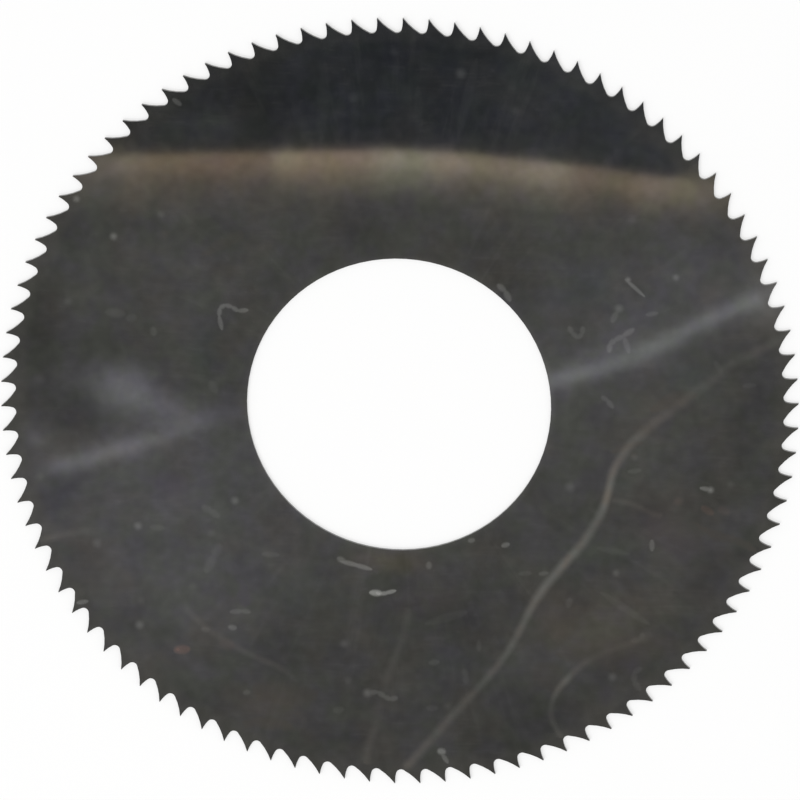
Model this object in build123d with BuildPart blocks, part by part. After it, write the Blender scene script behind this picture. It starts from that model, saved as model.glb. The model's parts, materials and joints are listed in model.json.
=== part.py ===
from build123d import *
from math import acos, degrees, sqrt
import os

# A slitting saw: one thin ring of hardened steel, ground from sheet, with fine hooked teeth.
# Lengths are in millimetres and angles in degrees.
# The origin is on the bore's axis at half the thickness, and +Z runs along that axis.
# Seen from +Z, the saw cuts as it turns counter-clockwise.

# Body
outside_diameter = 66.675
bore_diameter = 25.4
rim_thickness = 0.30

# The rim is the thickest place, so that only the teeth touch the walls of the slot.
# Inside a full-thickness band below the teeth, each side is ground thinner down to the flat
# seat that the arbor's flanges clamp.
rim_band_width = 0.8
seat_diameter = 40.0
side_relief = 0.01
bore_chamfer = 0.03

# Teeth
tooth_count = 98
tooth_depth = 1.25
rake_angle = 4.6
face_radius = 2.89
gullet_radius = 0.426
back_radius = 5.18
land_width = 0.05
land_relief = 8.0

# The turned blank is a little larger than the finished saw.
blank_allowance = 0.5

tip_radius = outside_diameter / 2
bore_radius = bore_diameter / 2
seat_radius = seat_diameter / 2
root_radius = tip_radius - tooth_depth
band_radius = root_radius - rim_band_width
blank_radius = tip_radius + blank_allowance
rim_half = rim_thickness / 2
seat_half = rim_half - side_relief
tooth_pitch = 360 / tooth_count

# One tooth space is drawn at the top of the ring. The cutting edge is on the Y axis, its
# hollow face falls away below it, and the tooth before it stands one pitch to the left.
cutting_edge = Vector(0, tip_radius)
land = Vector(land_width, 0).rotate(Axis.Z, -land_relief)
heel = cutting_edge + land
heel_before = heel.rotate(Axis.Z, tooth_pitch)

# The gullet's arc lies inside the face's arc and touches it, with its lowest point at the
# full depth of the teeth.
face_centre = cutting_edge + Vector(-face_radius, 0).rotate(Axis.Z, rake_angle)
gullet_height = root_radius + gullet_radius
gullet_drop = face_centre.Y - gullet_height
gullet_shift = sqrt((face_radius - gullet_radius) ** 2 - gullet_drop**2)
gullet_centre = Vector(face_centre.X + gullet_shift, gullet_height)
face_foot = face_centre + (gullet_centre - face_centre).normalized() * face_radius

# The back's arc starts at the heel of the tooth before and runs into the gullet's arc.
# Its centre is the third corner of a triangle with that heel and the gullet's centre.
back_reach = back_radius - gullet_radius
to_heel = heel_before - gullet_centre
corner_cosine = (to_heel.length**2 + back_reach**2 - back_radius**2) / (2 * to_heel.length * back_reach)
to_back_centre = to_heel.normalized().rotate(Axis.Z, -degrees(acos(corner_cosine)))
back_foot = gullet_centre - to_back_centre * gullet_radius

with BuildLine() as tooth_line:
    RadiusArc(heel_before, back_foot, -back_radius)
    RadiusArc(back_foot, face_foot, -gullet_radius)
    RadiusArc(face_foot, cutting_edge, -face_radius)
    Line(cutting_edge, heel)

with BuildPart() as saw_blade:
    # The ground section, from the bore to beyond the teeth, turned about the axis.
    with BuildSketch(Plane.XZ):
        with BuildLine():
            Polyline(
                (bore_radius, 0),
                (bore_radius, seat_half - bore_chamfer),
                (bore_radius + bore_chamfer, seat_half),
                (seat_radius, seat_half),
                (band_radius, rim_half),
                (blank_radius, rim_half),
                (blank_radius, 0),
            )
            mirror(about=Plane.XZ)
        make_face()
    revolve(axis=Axis.Z)

    # The toothed outline, which leaves of the blank only the saw.
    with BuildSketch():
        with BuildLine():
            with PolarLocations(0, tooth_count):
                add(tooth_line.line)
        make_face()
    extrude(amount=rim_half, both=True, mode=Mode.INTERSECT)

saw_blade.part.label = "saw_blade"

os.makedirs("parts", exist_ok=True)
export_step(saw_blade.part, "parts/saw_blade.step")
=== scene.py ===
# %% [markdown]
# # A slitting saw on a white table
# The saw is one thin ring of hardened steel with fine hooked teeth. Its shape comes ready made
# from the packed model, true to a fiftieth of a millimetre, so this lesson is about the rest:
# a camera that looks where the photograph looked, a studio for the polished steel to mirror,
# and a finish with its grinding marks, stains, scratches and specks.

import json
import math
from functools import reduce

import bpy
from mathutils import Matrix, Vector


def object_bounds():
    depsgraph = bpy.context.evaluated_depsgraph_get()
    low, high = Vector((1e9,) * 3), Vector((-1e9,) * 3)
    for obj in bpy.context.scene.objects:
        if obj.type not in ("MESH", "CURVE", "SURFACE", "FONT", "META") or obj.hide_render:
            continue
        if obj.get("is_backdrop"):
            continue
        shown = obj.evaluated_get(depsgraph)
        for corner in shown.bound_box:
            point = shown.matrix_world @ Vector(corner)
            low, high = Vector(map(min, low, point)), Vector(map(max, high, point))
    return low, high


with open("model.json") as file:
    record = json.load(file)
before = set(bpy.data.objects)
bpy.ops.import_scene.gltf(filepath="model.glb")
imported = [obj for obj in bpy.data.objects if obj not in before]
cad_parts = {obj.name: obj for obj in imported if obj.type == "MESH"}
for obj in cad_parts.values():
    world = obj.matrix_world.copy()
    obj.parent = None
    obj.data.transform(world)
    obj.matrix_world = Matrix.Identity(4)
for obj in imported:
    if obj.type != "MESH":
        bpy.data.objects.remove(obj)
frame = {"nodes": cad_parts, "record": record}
cad_low, cad_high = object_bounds()
saw = frame["nodes"]["saw_blade"]
mounts = {mount["name"]: mount for mount in frame["record"]["mounts"]}

MM = 0.001
TIP_RADIUS = cad_high.y / MM
BORE_RADIUS = mounts["arbor_bore"]["dims"]["r_mm"]
TOP = cad_high.z
BOTTOM = cad_low.z
print(f"saw: {2 * TIP_RADIUS:.2f} mm across, bore {2 * BORE_RADIUS:.2f} mm")

# %% [markdown]
# ## The camera
# The photograph was taken from far off with a long lens: the far teeth are almost as large as
# the near ones. The camera starts straight above the saw, backs off, leans 17 degrees to one
# side, and spins a little so that the right tooth stands at the top of the picture. A Track To
# constraint could aim it, but would leave no say in that spin. Three matrices multiplied in
# that order say all of this at once.

# %% Place the camera
CAMERA_DISTANCE = 0.889
CAMERA_LEAN = math.radians(17.3)
LEANS_TOWARDS = math.radians(77.6)
CAMERA_SPIN = math.radians(1.08)
LENS = 479.5
PICTURE_SIZE = 800
SAW_CENTRE_IN_PICTURE = (399.0, 404.6)

lean_axis = Vector((-math.sin(LEANS_TOWARDS), math.cos(LEANS_TOWARDS), 0))
spin = Matrix.Rotation(CAMERA_SPIN, 4, "Z")
lean = Matrix.Rotation(CAMERA_LEAN, 4, lean_axis)
back_off = Matrix.Translation((0, 0, CAMERA_DISTANCE))

camera_data = bpy.data.cameras.new("camera")
camera_data.lens = LENS
camera_data.shift_x = 0.5 - SAW_CENTRE_IN_PICTURE[0] / PICTURE_SIZE
camera_data.shift_y = SAW_CENTRE_IN_PICTURE[1] / PICTURE_SIZE - 0.5
camera = bpy.data.objects.new("camera", camera_data)
camera.matrix_world = spin @ lean @ back_off
bpy.context.scene.collection.objects.link(camera)
bpy.context.scene.camera = camera
print("camera stands at", tuple(round(x, 3) for x in camera.matrix_world.translation))

# %% [markdown]
# Everything that is read off the photograph is a pixel. Two small functions turn a pixel into
# a place: on the saw's top face, or, one bounce further, on a sheet that hangs above the saw
# and is seen as its reflection. The polished face is a mirror, so the bounce only flips the
# ray's upward part.

# %% From a pixel to a place
LENS_IN_PIXELS = LENS / camera_data.sensor_width * PICTURE_SIZE
EYE = camera.matrix_world.translation.copy()
EYE_TURN = camera.matrix_world.to_3x3()


def on_saw(pixel):
    """The ray through a pixel of the photograph, and where it meets the saw's top face."""
    across = (pixel[0] - SAW_CENTRE_IN_PICTURE[0]) / LENS_IN_PIXELS
    down = (pixel[1] - SAW_CENTRE_IN_PICTURE[1]) / LENS_IN_PIXELS
    ray = EYE_TURN @ Vector((across, -down, -1))
    return EYE + ray * ((TOP - EYE.z) / ray.z), ray


def in_mirror(pixel, height):
    """The point, that high above the saw, whose mirror image shows at the pixel."""
    point, ray = on_saw(pixel)
    bounced = Vector((ray.x, ray.y, -ray.z))
    return point + bounced * (height / bounced.z)


centre_of_picture = on_saw((400, 400))[0] / MM
print("the middle of the picture shows", tuple(round(x, 2) for x in centre_of_picture))

# %% [markdown]
# ## Shader arithmetic
# A finish is mostly arithmetic: distances, masks, mixes. Wired by hand it becomes a thicket of
# Math nodes. Here one small class wraps the socket that carries a value, and Python's own
# operators add the nodes, so that a mask reads as a formula.

# %% A value in a material


class Value:
    """The socket that carries a number, vector, colour or shader through a node tree."""

    def __init__(self, socket, tree=None):
        self.socket = socket
        self.tree = tree or socket.id_data

    def node(self, kind, settings=None, sockets=None, output=0):
        """Adds a node, with its settings first and then its sockets' values or links."""
        made = self.tree.nodes.new(kind)
        for name, setting in (settings or {}).items():
            if name == "knots":
                made.mapping.use_clip = False
                curve = made.mapping.curves[0]
                while len(curve.points) < len(setting):
                    curve.points.new(0.5, 0.5)
                for point, knot in zip(curve.points, sorted(setting)):
                    point.location = knot
                made.mapping.update()
            else:
                setattr(made, name, setting)
        for name, value in (sockets or {}).items():
            if isinstance(value, Value):
                self.tree.links.new(value.socket, made.inputs[name])
            else:
                made.inputs[name].default_value = value
        return Value(made.outputs[output], self.tree) if made.outputs else None

    def output(self, name):
        """Another output of the node that this value comes from."""
        return Value(self.socket.node.outputs[name])

    def math(self, operation, *others):
        """A Math node that works on this value and the others."""
        settings = {"operation": operation}
        return self.node("ShaderNodeMath", settings, dict(enumerate((self, *others))))

    def vector(self, operation, *others, output=0):
        """A Vector Math node that works on this value and the others."""
        settings = {"operation": operation}
        sockets = dict(enumerate((self, *others)))
        return self.node("ShaderNodeVectorMath", settings, sockets, output)

    def __add__(self, other):
        return self.math("ADD", other)

    def __sub__(self, other):
        return self.math("SUBTRACT", other)

    def __mul__(self, other):
        return self.math("MULTIPLY", other)

    def __truediv__(self, other):
        return self.math("DIVIDE", other)

    def __rsub__(self, other):
        return self.node("ShaderNodeMath", {"operation": "SUBTRACT"}, {0: other, 1: self})

    def __rtruediv__(self, other):
        return self.node("ShaderNodeMath", {"operation": "DIVIDE"}, {0: other, 1: self})

    __radd__ = __add__
    __rmul__ = __mul__

    def most(self, other):
        """The larger of this value and another one."""
        return self.math("MAXIMUM", other)

    def step(self, start, end, high=1.0):
        """0 at start, high at end, and smooth between. The start may be the larger one."""
        settings = {"interpolation_type": "SMOOTHSTEP"}
        return self.node("ShaderNodeMapRange", settings, {0: self, 1: start, 2: end, 4: high})

    def between(self, first, second):
        """The first colour where this value is 0, the second where it is 1, mixed between."""
        settings = {"data_type": "RGBA"}
        return self.node("ShaderNodeMix", settings, {0: self, 6: first, 7: second}, 2)

    def turned_to(self, colour, share):
        """This colour, turned by a share towards another one."""
        return share.between(self, colour)


print("a value can:", [name for name in vars(Value) if not name.startswith("__")])

# %% [markdown]
# ## The white table and the sky
# Polished dark steel has hardly a colour of its own: it shows what stands round it. The
# photograph has the saw on pure white, yet its face mirrors a dim room overhead. One plain
# white sky would turn the steel pale. So the sky answers each kind of ray in its own way,
# which the Light Path node tells apart. The camera sees white. Diffuse light is a plain white.
# The steel sees white low down, near the table, and the dim room further up.

# %% The sky
WHITE = (1, 1, 1, 1)
ROOM_OVERHEAD = (0.345, 0.348, 0.338, 1)
ROOM_STARTS = 0.30
ROOM_IS_FULL = 0.75
SKY_LIGHT = 0.8

world = bpy.data.worlds.new("studio")
bpy.context.scene.world = world
world.use_nodes = True
world.node_tree.nodes.clear()
sky = Value(None, world.node_tree)

direction = sky.node("ShaderNodeTexCoord").output("Generated")
upward = sky.node("ShaderNodeSeparateXYZ", None, {0: direction}).output("Z")
ray = sky.node("ShaderNodeLightPath")
mirrored_ray = ray.output("Is Glossy Ray")
seen_ray = ray.output("Is Camera Ray").most(mirrored_ray).most(ray.output("Is Transmission Ray"))
dimming = upward.step(ROOM_STARTS, ROOM_IS_FULL) * mirrored_ray
colour = dimming.between(WHITE, ROOM_OVERHEAD)
strength = SKY_LIGHT + seen_ray * (1 - SKY_LIGHT)
background = sky.node("ShaderNodeBackground", None, {"Color": colour, "Strength": strength})
sky.node("ShaderNodeOutputWorld", None, {"Surface": background})
print("sky nodes:", len(world.node_tree.nodes))

# %% [markdown]
# The table is one large square right under the saw. As a lit surface alone it would come out
# a little grey, and as a glow alone it would lose the saw's shadow. So a Mix Shader has some
# of both: the lit surface keeps the thin shadow along the saw's edge, and the glow, which only
# the camera and the mirrors see, makes the rest white and lights nothing.

# %% The table
TABLE_SIZE = 6.0
TABLE_COLOUR = (0.93, 0.93, 0.925, 1)
TABLE_GLOW = 0.6


def new_material(name):
    """An empty material, and the Value that its first nodes are added through."""
    material = bpy.data.materials.new(name)
    material.use_nodes = True
    material.node_tree.nodes.clear()
    return material, Value(None, material.node_tree)


half = TABLE_SIZE / 2
table_corners = [(-half, -half, BOTTOM), (half, -half, BOTTOM), (half, half, BOTTOM),
                 (-half, half, BOTTOM)]
table_mesh = bpy.data.meshes.new("table")
table_mesh.from_pydata(table_corners, [], [range(4)])
table = bpy.data.objects.new("table", table_mesh)
bpy.context.scene.collection.objects.link(table)
white_table, start = new_material("white_table")
lit = start.node("ShaderNodeBsdfDiffuse", None, {"Color": TABLE_COLOUR})
glow = start.node("ShaderNodeEmission", None, {"Color": WHITE})
ray = start.node("ShaderNodeLightPath")
seen_ray = ray.output("Is Camera Ray").most(ray.output("Is Glossy Ray"))
seen_ray = seen_ray.most(ray.output("Is Transmission Ray"))
shown = start.node("ShaderNodeMixShader", None, {0: seen_ray * TABLE_GLOW, 1: lit, 2: glow})
start.node("ShaderNodeOutputMaterial", None, {"Surface": shown})
table.data.materials.append(white_table)
table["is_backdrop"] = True
print(f"table: {TABLE_SIZE} m wide, {TABLE_GLOW:.0%} plain white")

# %% [markdown]
# One large soft lamp gives the table its light from one side. A small lamp would draw a hard
# dark line beside the steel, which is three tenths of a millimetre thick. From a wide one the
# shadow stays faint and soft, as in the photograph. The steel doesn't mirror the lamp.

# %% The lamp
LAMP_SIZE = 0.8
LAMP_POWER = 6.0
LAMP_PLACE = (-0.55, -0.5, 1.1)

lamp_data = bpy.data.lights.new("soft_lamp", "AREA")
lamp_data.size = LAMP_SIZE
lamp_data.energy = LAMP_POWER
lamp = bpy.data.objects.new("soft_lamp", lamp_data)
lamp.location = LAMP_PLACE
lamp.rotation_euler = (-lamp.location).to_track_quat("-Z", "Y").to_euler()
lamp.visible_glossy = False
bpy.context.scene.collection.objects.link(lamp)
print(f"lamp: {LAMP_POWER} W, {lamp.location.length:.2f} m away")

# %% [markdown]
# ## What the steel mirrors
# Across the top of the saw lies the mirror image of something dark with a warm bright edge,
# and a pale streak crosses it from left to right, broken by the bore. They could be painted
# on the steel, but then they would stay there when the saw is seen from elsewhere. So they are
# made as reflections: sheets that glow faintly, hung close above the saw, which only mirror
# rays can see. A sheet's outline is given in the photograph's pixels, and the ray through each
# pixel is followed past its bounce to find where that corner has to hang.
#
# First the sheets' material. An image would need a file, so every corner of a sheet carries
# its own colour, and an Attribute node reads it. Emission adds that glow to what lies behind.
# Alpha says how much of what lies behind is hidden.

# %% The glow of a sheet
mirror_glow, start = new_material("mirror_glow")
paint = start.node("ShaderNodeAttribute", {"attribute_name": "glow"})
glow = start.node("ShaderNodeEmission", None, {"Color": paint})
behind = start.node("ShaderNodeBsdfTransparent", None, {"Color": 1 - paint.output("Alpha")})
shown = start.node("ShaderNodeAddShader", None, {0: glow, 1: behind})
start.node("ShaderNodeOutputMaterial", None, {"Surface": shown})
print("a sheet's material has", len(mirror_glow.node_tree.nodes), "nodes")

# %% [markdown]
# A sheet is a grid of corners, listed row by row, with a face between each four. It is staged,
# because it belongs to the room and not to the saw, and it is hidden from every kind of ray
# but the mirror's.

# %% Hang a sheet


def hang(name, corners, glows, wide):
    """Hangs a glowing sheet whose corners are listed row by row."""
    rows = len(corners) // wide
    faces = [(row * wide + k, row * wide + k + 1, (row + 1) * wide + k + 1, (row + 1) * wide + k)
             for row in range(rows - 1) for k in range(wide - 1)]
    mesh = bpy.data.meshes.new(name)
    mesh.from_pydata(corners, [], faces)
    mesh.color_attributes.new("glow", "FLOAT_COLOR", "POINT").data.foreach_set("color", glows)
    mesh.materials.append(mirror_glow)
    sheet = bpy.data.objects.new(name, mesh)
    bpy.context.scene.collection.objects.link(sheet)
    sheet.visible_camera = False
    sheet.visible_diffuse = False
    sheet.visible_shadow = False
    sheet.visible_transmission = False
    sheet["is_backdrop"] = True
    print(f"{name}: {len(faces)} faces")


# %% [markdown]
# A strip follows a line of points, and each point has its own light. Straight pieces would
# show as kinks in the mirror, so a smooth curve runs through the points. Between each two it is
# a cubic, whose direction at a point comes from the points on either side, so it needs no
# handles. It smooths the colours along with the places.

# %% A strip along a line
SHEET_HEIGHT = 0.030
SHEET_GAP = 0.0002


def smooth(points, pieces=6):
    """A smooth curve through the points, with that many straight pieces between each two."""
    ends = [points[0], *points, points[-1]]
    curve = []
    for a, b, c, d in zip(ends, ends[1:], ends[2:], ends[3:]):
        for step in range(pieces):
            t = step / pieces
            curve.append(tuple(
                0.5 * (2 * q + (r - p) * t + (2 * p - 5 * q + 4 * r - s) * t**2
                       + (3 * q - p - 3 * r + s) * t**3)
                for p, q, r, s in zip(a, b, c, d)))
    return [*curve, tuple(points[-1])]


def mirrored_strip(name, line, profile, height, hides=0):
    """A strip that shows in the saw along a line of (x, y, glow) points.

    The profile lists (pixels below the line, share of the glow) from its top edge down.
    """
    path = smooth([(x, y, *colour) for x, y, colour in line])
    corners = []
    glows = []
    for below, share in profile:
        for x, y, *colour in path:
            corners.append(in_mirror((x, y + below), height))
            glows.extend([part * share for part in colour] + [hides * share])
    hang(name, corners, glows, len(path))


print(f"the sheets hang {SHEET_HEIGHT / MM:.0f} mm above the saw, {SHEET_GAP / MM:.1f} mm apart")

# %% [markdown]
# The dark thing is a strip that hides all that hangs above it, as a photographer's flag does.
# Its lower edge is the line to get right, and the warm edge follows that line with its own
# glow at every point: brightest just below it, and fading downwards over some forty pixels.

# %% The dark thing with its warm edge
DARK_LEFT = (0.145, 0.155, 0.165)
DARK_MIDDLE = (0.135, 0.150, 0.172)
DARK_RIGHT = (0.17, 0.185, 0.205)
DARK_EDGE = [(-60, 150, DARK_LEFT), (60, 151, DARK_LEFT), (110, 152.5, DARK_LEFT),
             (150, 154, DARK_LEFT), (200, 153.5, DARK_LEFT), (260, 152.5, DARK_LEFT),
             (330, 151, DARK_MIDDLE), (400, 150.5, DARK_MIDDLE), (470, 154.5, DARK_MIDDLE),
             (530, 161, DARK_RIGHT), (600, 168, DARK_RIGHT), (640, 174.5, DARK_RIGHT),
             (668, 178.5, DARK_RIGHT), (690, 176, DARK_RIGHT), (860, 160, DARK_RIGHT)]
DARK_PROFILE = [(-300, 0), (-200, 1), (-1, 1), (1, 0)]
mirrored_strip("dark_flag", DARK_EDGE, DARK_PROFILE, SHEET_HEIGHT, hides=1)

WARM_EDGE = [(-60, 150, (0.0, 0.0, 0.0)), (90, 151.5, (0.56, 0.45, 0.33)),
             (125, 153.5, (0.70, 0.56, 0.36)), (170, 154, (0.58, 0.41, 0.21)),
             (220, 153, (0.66, 0.43, 0.27)), (266, 152.5, (0.64, 0.44, 0.24)),
             (281, 152, (1.12, 0.90, 0.62)), (310, 151.5, (1.00, 0.74, 0.46)),
             (360, 151, (1.00, 0.73, 0.47)), (400, 150.5, (1.10, 0.99, 0.72)),
             (450, 153, (1.00, 0.82, 0.58)), (490, 156.5, (0.92, 0.71, 0.47)),
             (530, 161, (0.94, 0.74, 0.55)), (562, 164.5, (1.06, 0.90, 0.62)),
             (580, 166, (0.62, 0.44, 0.28)), (605, 168.5, (0.50, 0.36, 0.20)),
             (640, 174.5, (0.64, 0.46, 0.29)), (690, 177, (0.58, 0.47, 0.32)),
             (720, 178, (0.46, 0.36, 0.26)), (860, 178, (0.0, 0.0, 0.0))]
WARM_PROFILE = [(-1, 0), (1, 1), (11, 1), (17, 0.8), (21, 0.6), (25, 0.44), (29, 0.34),
                (37, 0.18), (45, 0.08), (55, 0.02), (75, 0)]
mirrored_strip("warm_edge", WARM_EDGE, WARM_PROFILE, SHEET_HEIGHT + SHEET_GAP)

# %% [markdown]
# The streak is two strips more, one on each side of the bore, where the photograph's streak
# changes its width and its light.

# %% The pale streak
RIGHT_STREAK = [(500, 392, (0.3, 0.31, 0.34)), (560, 379.5, (0.56, 0.58, 0.62)),
                (620, 362, (0.42, 0.44, 0.48)), (660, 345, (0.54, 0.56, 0.60)),
                (700, 324, (0.54, 0.56, 0.60)), (756, 300, (0.58, 0.60, 0.64)),
                (840, 268, (0.3, 0.31, 0.34))]
RIGHT_PROFILE = [(-15, 0), (-8, 0.40), (-4, 1), (3, 1), (8, 0.25), (13, 0)]
mirrored_strip("right_streak", RIGHT_STREAK, RIGHT_PROFILE, SHEET_HEIGHT + 2 * SHEET_GAP)
LEFT_STREAK = [(30, 470, (0.0, 0.0, 0.0)), (48, 467, (0.18, 0.18, 0.21)),
               (60, 465.5, (0.50, 0.50, 0.58)), (75, 463.5, (0.44, 0.44, 0.51)),
               (90, 459.5, (0.50, 0.50, 0.56)), (120, 449, (0.56, 0.56, 0.62)),
               (150, 441.5, (0.54, 0.54, 0.60)), (170, 435.5, (0.32, 0.32, 0.37)),
               (200, 421, (0.24, 0.24, 0.28)), (240, 410, (0.1, 0.1, 0.12)),
               (300, 395, (0.0, 0.0, 0.0))]
LEFT_PROFILE = [(-13, 0), (-7, 0.45), (-3, 1), (2, 1), (6, 0.50), (11, 0)]
mirrored_strip("left_streak", LEFT_STREAK, LEFT_PROFILE, SHEET_HEIGHT + 2 * SHEET_GAP)

# %% [markdown]
# The rest of the room is soft: pale, dark and faintly coloured patches that run into each
# other. One sheet holds them all. It is a fine grid, and each of its corners adds up the
# patches that reach it, so a patch costs no sheet and no render time of its own.

# %% Pale and dark patches of the room
# Each has its middle, reach and turn in the picture, its glow, and the share that it hides.
PATCHES = [
    # The wedge over the left streak, and the dark hollow beside it
    ((122, 384), (50, 34), 12, (0.31, 0.315, 0.36), 0),
    ((163, 408), (66, 26), 28, (0.25, 0.25, 0.29), 0),
    ((140, 410), (70, 30), 22, (0.12, 0.12, 0.14), 0),
    ((35, 438), (20, 16), 30, (0.26, 0.26, 0.30), 0),
    ((68, 412), (52, 36), 10, (0, 0, 0.015), 0.30),
    # The left edge and above it
    ((40, 345), (60, 84), 0, (0, 0, 0), 0.24),
    ((60, 255), (36, 30), 0, (0, 0, 0.012), 0.08),
    ((66, 226), (50, 50), 0, (0, 0, 0), 0.12),
    ((150, 285), (100, 80), 0, (0.04, 0.04, 0.046), 0),
    ((204, 350), (20, 36), 5, (0, 0.03, 0.025), 0.09),
    ((215, 350), (54, 54), 0, (0, 0, 0), 0.10),
    # Lower left
    ((165, 525), (260, 200), 0, (0.115, 0.115, 0.14), 0),
    ((60, 500), (26, 50), 0, (0, 0, 0.03), 0.12),
    ((88, 555), (54, 50), 0, (0, 0, 0), 0.09),
    ((172, 482), (36, 26), 0, (0.01, 0, 0.035), 0.04),
    ((150, 520), (44, 12), 0, (0.03, 0.03, 0), 0),
    ((205, 590), (64, 54), 0, (0.06, 0.06, 0.06), 0),
    ((200, 440), (50, 40), 0, (0, 0, 0), 0.06),
    ((275, 440), (50, 50), 0, (0.06, 0.06, 0.065), 0),
    ((270, 508), (62, 44), 0, (0, 0, 0), 0.07),
    # Below the bore
    ((388, 561), (66, 14), 5, (0.15, 0.09, 0.02), 0),
    ((330, 650), (150, 100), 0, (0, 0, 0), 0.12),
    ((455, 595), (110, 60), 0, (0, 0, 0), 0.10),
    ((500, 732), (160, 75), 0, (0, 0, 0), 0.24),
    ((320, 600), (50, 40), 0, (0, 0.015, 0), 0.04),
    ((430, 600), (60, 22), 0, (0.025, 0, 0.012), 0),
    ((450, 660), (36, 40), 0, (0, 0, 0.03), 0.06),
    ((470, 630), (54, 74), 20, (0, 0, 0), 0.11),
    ((450, 545), (60, 30), 0, (0.05, 0.05, 0.045), 0),
    ((335, 742), (90, 40), 0, (0, 0, 0), 0.12),
    ((350, 735), (60, 14), 5, (0, 0, 0.015), 0.14),
    ((430, 740), (50, 40), 0, (0.05, 0.05, 0.05), 0),
    ((270, 705), (54, 26), 8, (0.06, 0.035, 0.015), 0),
    # Lower right
    ((600, 625), (105, 52), 0, (0.10, 0.07, 0.04), 0),
    ((675, 540), (62, 46), 20, (0.05, 0.032, 0.045), 0),
    ((712, 588), (50, 32), 30, (0, 0, 0.018), 0.13),
    ((640, 525), (44, 22), 0, (0.012, 0, 0.03), 0.03),
    ((600, 555), (60, 18), 10, (0, 0.02, 0), 0.03),
    ((600, 590), (60, 40), 0, (0, 0, 0), 0.05),
    ((635, 665), (120, 62), -40, (0, 0, 0), 0.13),
    # Right, along the right streak and under it
    ((655, 300), (170, 95), -20, (0.095, 0.095, 0.125), 0),
    ((625, 430), (130, 110), 0, (0.04, 0.038, 0.04), 0),
    ((590, 380), (90, 40), -15, (0.05, 0.05, 0.06), 0),
    ((525, 390), (60, 90), -10, (0.11, 0.11, 0.125), 0),
    ((772, 304), (44, 30), -25, (0.38, 0.38, 0.42), 0),
    ((650, 345), (54, 34), -20, (0.09, 0.09, 0.10), 0),
    ((655, 415), (44, 24), -40, (0.08, 0.075, 0.06), 0),
    ((566, 470), (44, 30), 0, (0, 0, 0), 0.04),
    ((738, 440), (60, 110), 10, (0, 0, 0), 0.14),
    ((778, 500), (34, 36), 0, (0, 0, 0), 0.25),
    ((590, 290), (56, 34), 0, (0, 0.022, 0.022), 0.05),
    ((690, 378), (40, 24), 20, (0, 0.022, 0.018), 0.06),
    ((622, 488), (18, 20), 0, (0, 0.035, 0.03), 0.06),
    # Above the bore, and at both ends of the warm edge
    ((505, 262), (60, 46), 30, (0, 0, 0), 0.22),
    ((370, 218), (95, 34), 0, (0, 0, 0), 0.12),
    ((350, 246), (72, 30), 0, (0, 0, 0), 0.10),
    ((672, 196), (66, 22), 0, (0.22, 0.18, 0.11), 0),
    ((136, 188), (24, 36), 0, (0.12, 0.09, 0.05), 0),
    # In the dark
    ((206, 128), (72, 24), 0, (0.05, 0.055, 0.055), 0),
    ((272, 98), (60, 32), 0, (0, 0, 0), 0.22),
    ((400, 48), (130, 34), 0, (0, 0, 0), 0.20),
    ((620, 142), (64, 34), 20, (0.03, 0.032, 0.036), 0),
    ((692, 142), (44, 44), 0, (0.045, 0.05, 0.04), 0),
]
print(len(PATCHES), "patches")

# %% [markdown]
# A patch is an ellipse that is strongest in its middle and fades to nothing at its edge. Glows
# add up. What two patches hide multiplies, as two veils do.

# %% The sheet that holds the patches
PATCH_GRID = 8


def patch_light(x, y):
    """The glow at a pixel and the share hidden there, summed over the patches."""
    light = [0, 0, 0]
    clear = 1
    for middle, reach, turn, glow, hides in PATCHES:
        tilt = math.radians(turn)
        right = x - middle[0]
        down = y - middle[1]
        along = (right * math.cos(tilt) + down * math.sin(tilt)) / reach[0]
        aside = (down * math.cos(tilt) - right * math.sin(tilt)) / reach[1]
        share = max(0, 1 - along**2 - aside**2) ** 2
        light = [old + part * share for old, part in zip(light, glow)]
        clear *= 1 - hides * share
    return [*light, 1 - clear]


stops = range(0, PICTURE_SIZE + 1, PATCH_GRID)
corners = [in_mirror((x, y), SHEET_HEIGHT - SHEET_GAP) for y in stops for x in stops]
glows = [part for y in stops for x in stops for part in patch_light(x, y)]
hang("room_patches", corners, glows, len(stops))

# %% [markdown]
# ## The steel
# Hardened tool steel, ground and polished until it mirrors, then oiled, handled and stored.
# Painted pictures would blur up close and need the mesh unwrapped. So one material covers the
# whole ring, and everything in it is worked out from a place on the steel in millimetres. Each
# mark then has its real size, and stays sharp at any distance. Height tells the top side from
# the other one, and PX is what one pixel of the photograph spans on the steel.

# %% Places on the steel
PIXELS_TO_THE_MM = 11.98
PX = 1 / PIXELS_TO_THE_MM
EDGE_OF_TOP = 0.120
SURELY_TOP = 0.135
HEIGHT_STRETCH = 20

ground_steel, start = new_material("ground_steel")
place = start.node("ShaderNodeTexCoord").output("Object")
place = place.vector("MULTIPLY", (1 / MM, 1 / MM, 1 / MM))
height = place.vector("DOT_PRODUCT", (0, 0, 1), output=1)
top_side = height.step(EDGE_OF_TOP, SURELY_TOP)
spoke = place.vector("MULTIPLY", (1, 1, 0))
radius = spoke.vector("LENGTH", output=1)
grain_place = place.vector("MULTIPLY", (1, 1, HEIGHT_STRETCH))


def tell(step):
    """Prints how far the steel's node tree has grown."""
    print(f"{step}: the steel has {len(ground_steel.node_tree.nodes)} nodes")


def noise(where, scale, detail=2.0, roughness=0.5):
    """Soft random values from 0 to 1 round 0.5, with that many patches to the millimetre."""
    sockets = {"Vector": where, "Scale": scale, "Detail": detail, "Roughness": roughness}
    return where.node("ShaderNodeTexNoise", None, sockets)


tell("places and directions")

# %% [markdown]
# Seen close, the steel is no even grey. Olive, bluish and brownish patches of a few
# millimetres lie over slow clouds of light and dark, with a fine grain on top. Four noises of
# different scales make them. Each costs render time at every sample, so the later marks are
# broken up by these same noises. The two sides share the recipe, but height is stretched, so
# each side gets patches of its own.

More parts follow.
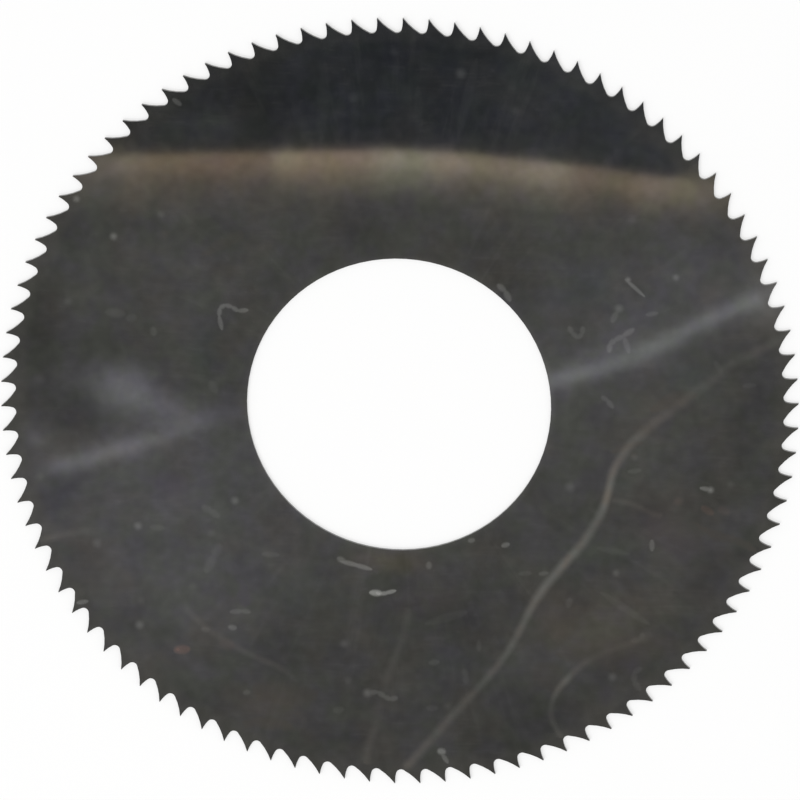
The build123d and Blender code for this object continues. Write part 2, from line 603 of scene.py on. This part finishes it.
# %% The mottled face
STEEL_OLIVE = (0.148, 0.152, 0.138, 1)
STEEL_BLUE = (0.151, 0.147, 0.155, 1)
STEEL_BROWN = (0.158, 0.149, 0.139, 1)
DARKEST = 0.535
CLOUD_CONTRAST = 0.62
GRAIN_CONTRAST = 0.31
POLISH = 0.07

patches = noise(grain_place, 0.38, detail=4.0, roughness=0.55)
clouds = noise(grain_place.vector("ADD", (40, 0, 0)), 0.28, detail=3.0)
browning = noise(grain_place.vector("ADD", (0, 70, 0)), 0.25, detail=4.0, roughness=0.55)
grain = noise(grain_place, 1.1, roughness=0.4)
steel = patches.step(0.35, 0.65).between(STEEL_OLIVE, STEEL_BLUE)
steel = steel.turned_to(STEEL_BROWN, browning.step(0.42, 0.75))
shade = DARKEST + clouds * CLOUD_CONTRAST + grain * GRAIN_CONTRAST
roughness = POLISH + clouds * 0.02 + grain * 0.01
tell("mottle")

# %% [markdown]
# The wheel that ground the sides left faint lines out from the bore. Real grooves would be far
# thinner than a pixel, so they are left to the material. They don't change its colour. They
# scatter a little light where the polish would mirror, so they lower Metallic, and show best on
# the darkest reflections. The noise is read at the direction from the middle, which hardly
# changes along a spoke, and that draws it out into rays.

# %% Grinding marks
RADIAL_SCATTER = 0.05
GRAIN_SCATTER = 0.012
MARKS_AROUND = 14
DRAWN_OUT = 0.05

three_radii = radius.node("ShaderNodeCombineXYZ", None, {0: radius, 1: radius, 2: radius})
around = spoke.vector("DIVIDE", three_radii).vector("MULTIPLY", (MARKS_AROUND, MARKS_AROUND, 1))
radial_place = around.vector("ADD", spoke.vector("MULTIPLY", (DRAWN_OUT, DRAWN_OUT, 0)))
radial = noise(radial_place, 1.0, detail=5.0, roughness=0.7)
radial_marks = radial.step(0.52, 0.72)
metallic = 1 - radial_marks * RADIAL_SCATTER - grain.step(0.4, 0.7) * GRAIN_SCATTER
tell("radial marks")

# %% [markdown]
# Years of handling left long hairlines. They come from stretched noise as well. Where it passes
# through its middle value lies a thin winding line, and stretching makes that line long and
# nearly straight. Each of the three sets lies at its own angle, and one of the first noises
# breaks it up.

# %% Hairlines
HAIR_SCATTER = 0.04
STRETCHED = (0.06, 1.6, 1)
HAIR_EDGE = 0.012
HAIR_CORE = 0.002


def hairlines(angle, seed, broken_by):
    """Long fine scratches that run about one way, broken where another noise is low."""
    turn = {"Vector": place, "Location": (seed, 0, 0), "Rotation": (0, 0, math.radians(angle)),
            "Scale": STRETCHED}
    wavy = place.node("ShaderNodeMapping", None, turn)
    off_middle = (noise(wavy, 1.0, roughness=0.6) - 0.5).math("ABSOLUTE")
    return off_middle.step(HAIR_EDGE, HAIR_CORE) * broken_by.step(0.45, 0.6)


hair = hairlines(8, 10, clouds)
hair = hair.most(hairlines(-24, 33, browning))
hair = hair.most(hairlines(62, 57, patches))
metallic = metallic - hair * HAIR_SCATTER
tell("hairlines")

# %% [markdown]
# Oil and fingers dull the places that are touched: the toothed rim turns brownish and loses
# its polish, and the edge of the bore is a little brighter where it slid over arbors. A sharp
# circle would look painted on, so the rim's inner edge wanders in and out with the clouds.

# %% The rim and the bore
RIM_BROWN = (0.140, 0.134, 0.121, 1)
RIM_STARTS = 31.6
RIM_IS_FULL = 32.8
RIM_WANDERS = 1.6
BORE_EDGE_STARTS = BORE_RADIUS + 0.55
BORE_EDGE_IS_FULL = BORE_RADIUS + 0.05
RIM_TINT = 0.5
RIM_SCATTER = 0.045
RIM_DULLS = 0.05
BORE_GLEAM = 0.06
BORE_SCATTER = 0.03
BORE_DULLS = 0.03

rim = (radius + clouds * RIM_WANDERS).step(RIM_STARTS, RIM_IS_FULL)
bore_edge = radius.step(BORE_EDGE_STARTS, BORE_EDGE_IS_FULL)
steel = steel.turned_to(RIM_BROWN, rim * RIM_TINT)
shade = shade + bore_edge * BORE_GLEAM
metallic = metallic - rim * RIM_SCATTER - bore_edge * BORE_SCATTER
roughness = roughness + rim * RIM_DULLS + bore_edge * BORE_DULLS
tell("rim and bore")

# %% [markdown]
# ## Lint, scratches and stains
# The polished face shows every speck. Scattered at random, they would match no photograph, so
# each is placed by its pixels. A round speck needs one distance. A sliver is every place whose
# distances from the sliver's two ends add up to hardly more than its length: a slim ellipse. A
# bent thread is a row of slivers, and each end serves two of them.

# %% Spots and threads
SLIVER_ROUNDING = 1.5


def mark(points, width, strength, where):
    """A spot at one pixel, or a thread through more of them, made of slivers end to end."""
    path = [on_saw(pixel)[0] / MM for pixel in points]
    reach = width * PX
    distances = [where.vector("DISTANCE", point, output=1) for point in path]
    if len(path) == 1:
        return distances[0].step(reach, 0, strength)
    slivers = []
    for k in range(len(path) - 1):
        run = (path[k + 1] - path[k]).length
        around_ends = math.hypot(run, SLIVER_ROUNDING * reach)
        slivers.append((distances[k] + distances[k + 1]).step(around_ends, run, strength))
    return reduce(Value.most, slivers)


def marks(list_of_marks, where=place):
    """The strongest of many marks, each with its points, width in pixels and strength."""
    drawn = [mark(points, width, strength, where) for points, width, strength in list_of_marks]
    return reduce(Value.most, drawn) * top_side


# %% [markdown]
# Each row has the points, the width in pixels and the strength of one mark. Most of them are
# too faint to be told one by one, yet together they take the newness off the steel.

# %% Lint and dust
LINT = (0.55, 0.55, 0.53, 1)
lint_marks = [
    ([(222, 330), (219, 316), (220, 308), (225, 305), (232, 307), (238, 311), (248, 310)], 4.5, 0.18),
    ([(625, 279), (645, 297)], 3.6, 0.19),
    ([(628, 280)], 4.5, 0.24),
    ([(676, 277.5)], 5.5, 0.17),
    ([(621, 306), (617, 312), (612, 322)], 6, 0.10),
    ([(619, 308.5)], 7, 0.15),
    ([(646, 315), (658, 313)], 4.5, 0.08),
    ([(569, 327), (572, 333), (578, 338), (582, 334), (583, 327)], 5, 0.09),
    ([(609, 352), (610, 344), (615, 340), (623, 336), (634, 329)], 5.5, 0.12),
    ([(624, 337), (629, 353)], 5.5, 0.09),
    ([(602, 397), (607, 400), (613, 408)], 5, 0.095),
    ([(700, 488), (712, 490)], 4.5, 0.23),
    ([(710.5, 490)], 5.5, 0.30),
    ([(570, 487)], 8.5, 0.12),
    ([(652, 540), (652, 551)], 5, 0.15),
    ([(616, 573)], 6, 0.12),
    ([(338, 558), (345, 562)], 6, 0.16),
    ([(340, 561), (360, 566)], 4.8, 0.23),
    ([(352, 564), (372, 569.5)], 4.6, 0.22),
    ([(370, 592.5), (382, 593.5)], 6.4, 0.44),
    ([(376, 593), (380, 594)], 4.5, 0.55),
    ([(379, 594), (388, 593)], 4.4, 0.34),
    ([(384, 593.5), (396, 590.5)], 4.2, 0.35),
    ([(429, 563), (429, 568)], 6, 0.14),
    ([(365, 693), (378, 692), (385, 697), (390, 699), (397, 698)], 5.5, 0.115),
    ([(367.5, 693)], 7, 0.17),
    ([(113.5, 236.5)], 6, 0.23),
    ([(235, 500.5)], 6.5, 0.15),
    ([(138, 526)], 6.5, 0.17),
    ([(76.5, 199)], 5.5, 0.22),
    ([(68, 301.5)], 6.5, 0.07),
    ([(40.5, 476.5)], 7, 0.06),
    ([(139.5, 625)], 7, 0.16),
    ([(229, 627), (236, 628)], 5.5, 0.15),
    ([(77, 603), (88, 601)], 4.5, 0.18),
    ([(230, 612), (242, 611), (250, 612)], 5, 0.09),
    ([(439, 751), (444, 752)], 7, 0.28),
    ([(442, 754), (448, 763)], 4.5, 0.18),
    ([(461, 73.5)], 8.5, 0.11),
    ([(394, 51.5)], 7.5, 0.05),
    ([(354, 98.5)], 8.5, 0.05),
    ([(516, 111)], 7.5, 0.05),
    ([(173, 99), (181, 105)], 5, 0.16),
    ([(498, 285), (505, 291), (510, 301)], 6, 0.16),
    ([(502, 546), (509, 544)], 5, 0.20),
    ([(469, 541), (474, 540)], 5, 0.16),
    ([(429, 663), (439, 662)], 5.5, 0.065),
    ([(539, 574), (548, 573)], 4.5, 0.10),
    ([(519, 574), (531, 573)], 5, 0.05),
    ([(612.5, 677)], 7, 0.12),
    ([(715, 362), (722, 372)], 6, 0.04),
    ([(96.5, 543)], 7.5, 0.095),
    ([(632.5, 220)], 7.5, 0.045),
    ([(161, 214.5)], 6, 0.08),
    ([(153, 328), (154, 335)], 6.5, 0.07),
    ([(344, 644)], 6.5, 0.08),
    ([(244, 693), (249, 692)], 5.5, 0.08),
    ([(262, 554), (279, 555)], 5.5, 0.06),
    ([(203, 507), (210, 510), (219, 517)], 7, 0.055),
    ([(220, 545), (214, 556), (206, 572)], 9, 0.045),
    ([(211.5, 533)], 6.5, 0.06),
    ([(150, 527), (164, 528)], 6, 0.045),
    ([(202, 629), (209, 630)], 5.5, 0.06),
    ([(348, 680.5)], 6, 0.06),
    ([(634.5, 457.5)], 6, 0.06),
    ([(628, 472), (641, 470)], 5, 0.06),
    ([(106, 312), (124, 314)], 9, 0.045),
    ([(128, 319), (135, 317)], 8, 0.045),
    ([(211, 382), (216, 392)], 8, 0.045),
    ([(141.5, 600.5)], 6, 0.045),
    ([(193, 586)], 6.5, 0.045),
    ([(570, 599), (568, 607)], 6.5, 0.05),
    ([(730.5, 484.5)], 6, 0.05),
    ([(743, 386), (756, 385)], 5, 0.04),
    ([(479, 641), (479, 651)], 5, 0.05),
    ([(464, 670), (466, 676), (466, 683)], 6, 0.045),
    ([(641, 668), (634, 673), (634, 682), (640, 690)], 6, 0.05),
    ([(632, 641), (640, 640), (643, 634)], 6, 0.05),
    ([(448, 705.5)], 6.5, 0.05),
    ([(427, 708), (437, 708)], 6, 0.045),
    ([(334, 711), (343, 709)], 7, 0.05),
    ([(40.5, 379.5)], 8.5, 0.04),
    ([(597, 548), (630, 554)], 6, 0.03),
    ([(600, 592), (650, 625)], 7, 0.035),
    ([(425, 624), (467, 612)], 8, 0.035),
    ([(529.5, 250)], 8.5, 0.03),
    ([(325, 62), (321, 142)], 11, 0.015),
    ([(343, 90), (337, 142)], 9, 0.012),
    ([(356, 96), (353, 146)], 8, 0.014),
    ([(418, 86), (418, 140)], 8, 0.018),
    ([(477, 58), (458, 136)], 9, 0.024),
    ([(293, 103), (312, 146)], 10, 0.018),
]
lint = marks(lint_marks)
tell(f"{len(lint_marks)} specks and threads")

# %% [markdown]
# One long line crosses the right half like a hair in the oil. It is too long for a chain: its
# corners would show. A Float Curve bends a straight line instead. One dot product says how far
# along the line a place is, another how far to the side, and the curve says how far the line
# itself strays to the side on the way. A new Float Curve clips its knots between 0 and 1. That
# is turned off, as a line may stray to either side.

# %% A bent line
END_FADE = 0.01


def bent_line(points, widths, strengths):
    """A soft line through pixels, with knots for half its width in mm and for its strength."""
    path = [on_saw(pixel)[0] / MM for pixel in points]
    run = path[-1] - path[0]
    forward = run / run.length_squared
    sideways = Vector((-forward.y, forward.x, 0))
    knots = [((point - path[0]) @ forward, (point - path[0]) @ sideways) for point in path]
    from_start = place.vector("SUBTRACT", path[0])
    along = from_start.vector("DOT_PRODUCT", forward, output=1)
    aside = from_start.vector("DOT_PRODUCT", sideways, output=1)
    bend = along.node("ShaderNodeFloatCurve", {"knots": knots}, {"Value": along})
    aside = (aside - bend).math("ABSOLUTE") * run.length
    width = along.node("ShaderNodeFloatCurve", {"knots": widths}, {"Value": along})
    strength = along.node("ShaderNodeFloatCurve", {"knots": strengths}, {"Value": along})
    ends = along.step(-END_FADE, END_FADE) * along.step(1 + END_FADE, 1 - END_FADE)
    return (1 - aside / width).step(0, 1) * strength * ends * top_side


# %% [markdown]
# Each line has its pixels, then knots of (share of the way, value) for half its width and for
# its strength. The long line comes first. It is strongest where it turns down towards the
# middle, and faintest near the right edge, where it starts. The arc at the lower right turns too
# far to stray from one straight line, so it is two lines that overlap.

# %% The long lines
TAN = (0.60, 0.50, 0.38, 1)
BENT_LINES = {
    "long_line": (
        [(793, 332), (768, 346), (749, 356), (735, 362), (720, 372), (709, 383), (694, 392),
         (682, 403), (669, 413), (656, 422), (643, 433), (631, 444), (622, 456), (615, 468),
         (611, 480), (607, 497), (602, 511), (594, 526), (581, 545), (567, 561), (553, 577),
         (541, 592), (530, 610), (521, 628), (510, 648), (498, 665), (480, 686), (461, 706),
         (441, 728), (422, 750), (405, 768)],
        [(0, 0.75), (0.1, 0.78), (0.27, 0.74), (0.32, 0.66), (0.6, 0.66), (0.7, 0.56), (0.78, 0.54),
         (0.85, 0.62), (1, 0.66)],
        [(0, 0.06), (0.1, 0.05), (0.19, 0.058), (0.27, 0.08), (0.31, 0.1), (0.35, 0.14),
         (0.375, 0.17), (0.41, 0.205), (0.425, 0.22), (0.45, 0.155), (0.51, 0.165), (0.55, 0.215),
         (0.59, 0.18), (0.63, 0.17), (0.69, 0.13), (0.76, 0.105), (0.85, 0.085), (0.92, 0.09),
         (1, 0.12)]),
    "brown_line": (
        [(408, 608), (405, 630), (400, 645), (391, 668), (384, 689), (378, 711), (374, 730),
         (368, 749), (366, 764)],
        [(0, 0.6), (1, 0.65)],
        [(0, 0.04), (0.15, 0.045), (0.5, 0.03), (0.6, 0.015), (0.8, 0.05), (1, 0.065)]),
    "arc_line": (
        [(652, 634), (634, 642), (605, 652), (590, 660), (576, 670), (566.5, 680), (558.5, 689),
         (554, 697)],
        [(0, 0.6), (0.7, 0.55), (1, 0.5)],
        [(0, 0.01), (0.17, 0.05), (0.42, 0.03), (0.57, 0.045), (0.72, 0.08), (0.83, 0.15),
         (0.93, 0.11), (1, 0.08)]),
    "arc_foot": (
        [(562, 684.5), (558, 689), (554, 697), (551.5, 705), (551, 713), (553, 722), (557, 730),
         (562, 738)],
        [(0, 0.45), (1, 0.5)],
        [(0, 0.12), (0.08, 0.11), (0.2, 0.08), (1, 0.075)]),
    "slant_line": (
        [(186, 609), (204, 626), (226, 641), (245, 652), (263, 660), (282, 669), (299, 682)],
        [(0, 0.5), (1, 0.5)],
        [(0, 0.03), (0.5, 0.045), (0.8, 0.055), (1, 0.01)]),
    "side_line": (
        [(612, 500), (637, 506), (648, 512), (662, 516)],
        [(0, 0.45), (1, 0.45)],
        [(0, 0.05), (1, 0.04)]),
    "left_line": (
        [(40, 541), (60, 535), (80, 532), (104, 530)],
        [(0, 0.6), (1, 0.6)],
        [(0, 0.07), (0.6, 0.06), (1, 0.01)]),
}
tan_lines = reduce(Value.most, [bent_line(*line) for line in BENT_LINES.values()])
line_paint = patches.step(0.40, 0.60).between(LINT, TAN)
tell(f"{len(BENT_LINES)} long lines")

# %% [markdown]
# Rust is the one strong colour on the saw: a few orange specks. The stains are far weaker,
# brown and purple tints that hardly change how light the steel is. Their places are shifted
# by two of the noises first, so their outlines are ragged.

# %% Rust
RUST = (0.42, 0.17, 0.09, 1)
rust = marks([
    ([(175, 650), (189, 649)], 9, 0.17),
    ([(178, 649.5)], 5.5, 0.27),
    ([(222, 643), (232, 646)], 12, 0.05),
    ([(702, 507), (713, 514)], 7, 0.09),
    ([(678, 501.5)], 7.5, 0.07),
    ([(720, 509), (728, 513)], 9, 0.05),
    ([(634, 455)], 6, 0.03),
    ([(165, 234)], 8, 0.03),
])
tell("rust")

# %% Stains
BROWN = (0.166, 0.150, 0.135, 1)
PURPLE = (0.154, 0.142, 0.166, 1)
RAGGED = 2.8
ragged = place.node("ShaderNodeCombineXYZ", None, {0: patches, 1: browning, 2: 0.5})
ragged = ragged.vector("SUBTRACT", (0.5, 0.5, 0.5)).vector("MULTIPLY", (RAGGED, RAGGED, 0))
ragged_place = place.vector("ADD", ragged)
brown = marks([
    ([(650, 530), (700, 545)], 42, 0.25),
    ([(556, 627)], 32, 0.40),
    ([(560, 656), (680, 650)], 30, 0.35),
    ([(255, 690), (320, 700)], 24, 0.45),
    ([(245, 723), (292, 726)], 13, 0.50),
    ([(650, 407), (694, 394)], 13, 0.60),
    ([(614, 451), (640, 441)], 10, 0.50),
    ([(688, 522), (757, 552)], 8, 0.55),
    ([(540, 668), (558, 688)], 22, 0.40),
    ([(60, 541), (96, 540)], 14, 0.35),
    ([(206, 254), (244, 233)], 10, 0.35),
], ragged_place)
purple = marks([
    ([(632, 664)], 14, 0.70),
    ([(606, 692)], 16, 0.60),
    ([(240, 582), (244, 604)], 14, 0.60),
    ([(164, 474), (184, 490)], 20, 0.35),
], ragged_place)
tell("stains")

# %% [markdown]
# Now the layers come together: mottle times shade, then stains, lint, lines and rust on top.
# Where something lies on the steel it hides the mirror, so Metallic falls there with it. The
# CAD mesh stays as it is, and only gets this material.

# %% Dark polished steel
shade = shade.node("ShaderNodeCombineXYZ", None, {0: shade, 1: shade, 2: shade})
steel = steel.vector("MULTIPLY", shade)
steel = steel.turned_to(BROWN, brown).turned_to(PURPLE, purple)
steel = steel.turned_to(LINT, lint)
steel = steel.turned_to(line_paint, tan_lines)
steel = steel.turned_to(RUST, rust)
dull = 1 - lint.most(tan_lines).most(rust)
shader = place.node("ShaderNodeBsdfPrincipled", None, {
    "Base Color": steel, "Roughness": roughness, "Metallic": metallic * dull})
place.node("ShaderNodeOutputMaterial", None, {"Surface": shader})
saw.data.materials.clear()
saw.data.materials.append(ground_steel)
tell("finished")

# %% [markdown]
# The view transform is Standard, under which a colour shows about as it is written. Last, the
# saw's size with everything in place is measured once more, to show that the finish has moved
# nothing.

# %% Finish
bpy.context.scene.view_settings.view_transform = "Standard"
seen_low, seen_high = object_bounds()
moved = max(abs(seen - cad) for seen, cad in zip((*seen_low, *seen_high), (*cad_low, *cad_high)))
print(f"the finish moved the saw's sides by {moved / MM:.3f} mm")
